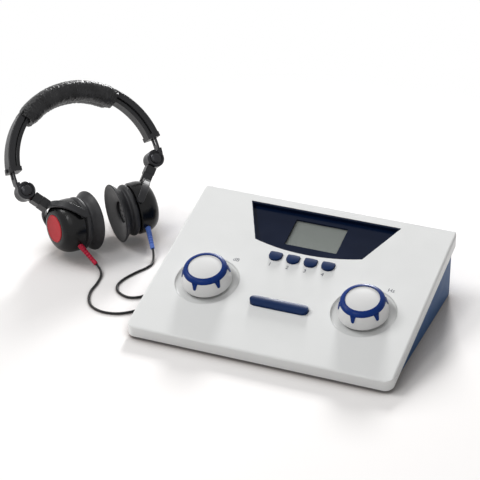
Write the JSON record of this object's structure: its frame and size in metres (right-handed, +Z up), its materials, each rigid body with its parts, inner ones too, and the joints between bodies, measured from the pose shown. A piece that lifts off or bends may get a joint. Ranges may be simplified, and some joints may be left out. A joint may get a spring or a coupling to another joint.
{
  "type": "screening audiometer",
  "caption": "Wedge-shaped desktop hearing tester with display window, keys, tone bar, two rotary dials and a folding headset on plug-in leads.",
  "frame": {"origin": "centre of the console's footprint, on the table under its feet", "axes": "+X to the operator's right along the console's width, +Y towards its rear panel, +Z up"},
  "size_m": [0.4895, 0.2774, 0.1604],
  "materials": {
    "cover_white": "fine satin moulded",
    "side_blue": "satin moulded",
    "window_navy": "semi-gloss",
    "lens": "clear",
    "lcd_grey": "matte reflective",
    "board_green": "solder mask",
    "switch_black": "matte",
    "steel": "brushed",
    "key_navy": "satin",
    "ring_blue": "satin",
    "knob_white": "satin",
    "foot_rubber": "matte",
    "band_black": "satin",
    "pad_leather": "soft satin",
    "cup_black": "semi-gloss",
    "cushion_rubber": "matte",
    "capsule_grey": "matte",
    "badge_red": "gloss",
    "badge_blue": "gloss",
    "boot_red": "matte",
    "boot_blue": "matte",
    "cord_black": "satin",
    "plug_black": "satin"
  },
  "bodies": {
    "console": {"top_cover": "cover_white", "base_shell": "side_blue", "display_bezel": "window_navy", "display_lens": "lens", "lcd_module": "lcd_grey", "main_board": "board_green", "key_switches": "switch_black", "tone_switch": "switch_black", "level_encoder": "switch_black", "frequency_encoder": "switch_black", "right_phone_jack": "switch_black", "left_phone_jack": "switch_black", "power_inlet": "switch_black", "power_switch_frame": "switch_black", "feet": "foot_rubber", "base_screws": "steel", "board_screws": "steel", "headband": "band_black", "headband_pad": "pad_leather", "right_band_end": "band_black", "left_band_end": "band_black", "right_lead": "cord_black", "right_lead_coil": "cord_black", "right_lead_tail": "cord_black", "right_plug": "plug_black", "left_lead": "cord_black", "left_lead_coil": "cord_black", "left_lead_tail": "cord_black", "left_plug": "plug_black"},
    "level_dial": {"level_dial_skirt": "knob_white", "level_dial_ring": "ring_blue", "level_dial_cap": "knob_white", "level_dial_shaft": "steel"},
    "frequency_dial": {"frequency_dial_skirt": "knob_white", "frequency_dial_ring": "ring_blue", "frequency_dial_cap": "knob_white", "frequency_dial_shaft": "steel"},
    "tone_bar_body": {"tone_bar": "key_navy"},
    "rocker": {"power_rocker": "switch_black"},
    "button_1_body": {"button_1": "key_navy"},
    "button_2_body": {"button_2": "key_navy"},
    "button_3_body": {"button_3": "key_navy"},
    "button_4_body": {"button_4": "key_navy"},
    "right_slider_body": {"right_slider": "steel"},
    "right_stem_body": {"right_stem": "band_black"},
    "right_fork_body": {"right_fork": "band_black"},
    "right_cup": {"right_cup_shell": "cup_black", "right_badge": "badge_red", "right_cushion": "cushion_rubber", "right_capsule": "capsule_grey", "right_lead_boot": "boot_red"},
    "left_slider_body": {"left_slider": "steel"},
    "left_stem_body": {"left_stem": "band_black"},
    "left_fork_body": {"left_fork": "band_black"},
    "left_cup": {"left_cup_shell": "cup_black", "left_badge": "badge_blue", "left_cushion": "cushion_rubber", "left_capsule": "capsule_grey", "left_lead_boot": "boot_blue"}
  },
  "joints": [
    {"name": "button_1_press", "type": "slide", "parent": "console", "child": "button_1_body", "axis": [0, 0.2747, -0.9615], "range_m": [0, 0.0012], "stiffness_N_per_m": 400, "springref_m": -0.002},
    {"name": "button_2_press", "type": "slide", "parent": "console", "child": "button_2_body", "axis": [0, 0.2747, -0.9615], "range_m": [0, 0.0012], "stiffness_N_per_m": 400, "springref_m": -0.002},
    {"name": "button_3_press", "type": "slide", "parent": "console", "child": "button_3_body", "axis": [0, 0.2747, -0.9615], "range_m": [0, 0.0012], "stiffness_N_per_m": 400, "springref_m": -0.002},
    {"name": "button_4_press", "type": "slide", "parent": "console", "child": "button_4_body", "axis": [0, 0.2747, -0.9615], "range_m": [0, 0.0012], "stiffness_N_per_m": 400, "springref_m": -0.002},
    {"name": "tone_bar_press", "type": "slide", "parent": "console", "child": "tone_bar_body", "axis": [0, 0.2747, -0.9615], "range_m": [0, 0.0015], "stiffness_N_per_m": 500, "springref_m": -0.002},
    {"name": "level_dial_turn", "type": "hinge", "parent": "console", "child": "level_dial", "pos_m": [-0.084, -0.02712, 0.03625], "axis": [0, -0.2747, 0.9615], "continuous": true},
    {"name": "frequency_dial_turn", "type": "hinge", "parent": "console", "child": "frequency_dial", "pos_m": [0.084, -0.02712, 0.03625], "axis": [0, -0.2747, 0.9615], "continuous": true},
    {"name": "power_rocker_swing", "type": "hinge", "parent": "console", "child": "rocker", "pos_m": [0.1, 0.0984, 0.03], "axis": [0, 0, 1], "range_deg": [-14, 0]},
    {"name": "right_slide", "type": "hinge", "parent": "console", "child": "right_slider_body", "pos_m": [-0.27384, 0.08531, 0.08236], "axis": [0.621, -0.4851, 0.6157], "range_deg": [-8, 10], "deforming": ["right_lead"]},
    {"name": "right_fold", "type": "hinge", "parent": "right_slider_body", "child": "right_stem_body", "pos_m": [-0.31452, 0.01874, 0.07094], "axis": [-0.621, 0.4851, -0.6157], "range_deg": [-10, 30], "deforming": ["right_lead"]},
    {"name": "right_swivel", "type": "hinge", "parent": "right_stem_body", "child": "right_fork_body", "pos_m": [-0.2669, 0.03269, 0.0339], "axis": [0.769, 0.2252, -0.5982], "range_deg": [-15, 15], "deforming": ["right_lead"]},
    {"name": "right_tilt", "type": "hinge", "parent": "right_fork_body", "child": "right_cup", "pos_m": [-0.2669, 0.03269, 0.0339], "axis": [0.636, -0.3628, 0.6811], "range_deg": [-12, 12], "deforming": ["right_lead"]},
    {"name": "left_slide", "type": "hinge", "parent": "console", "child": "left_slider_body", "pos_m": [-0.27384, 0.08531, 0.08236], "axis": [-0.621, 0.4851, -0.6157], "range_deg": [-8, 10], "deforming": ["left_lead"]},
    {"name": "left_fold", "type": "hinge", "parent": "left_slider_body", "child": "left_stem_body", "pos_m": [-0.21909, 0.14089, 0.07094], "axis": [0.621, -0.4851, 0.6157], "range_deg": [-10, 30], "deforming": ["left_lead"]},
    {"name": "left_swivel", "type": "hinge", "parent": "left_stem_body", "child": "left_fork_body", "pos_m": [-0.2211, 0.09131, 0.0339], "axis": [0.0325, 0.8007, 0.5982], "range_deg": [-15, 15], "deforming": ["left_lead"]},
    {"name": "left_tilt", "type": "hinge", "parent": "left_fork_body", "child": "left_cup", "pos_m": [-0.2211, 0.09131, 0.0339], "axis": [-0.5059, 0.5293, -0.6811], "range_deg": [-12, 12], "deforming": ["left_lead"]}
  ]
}
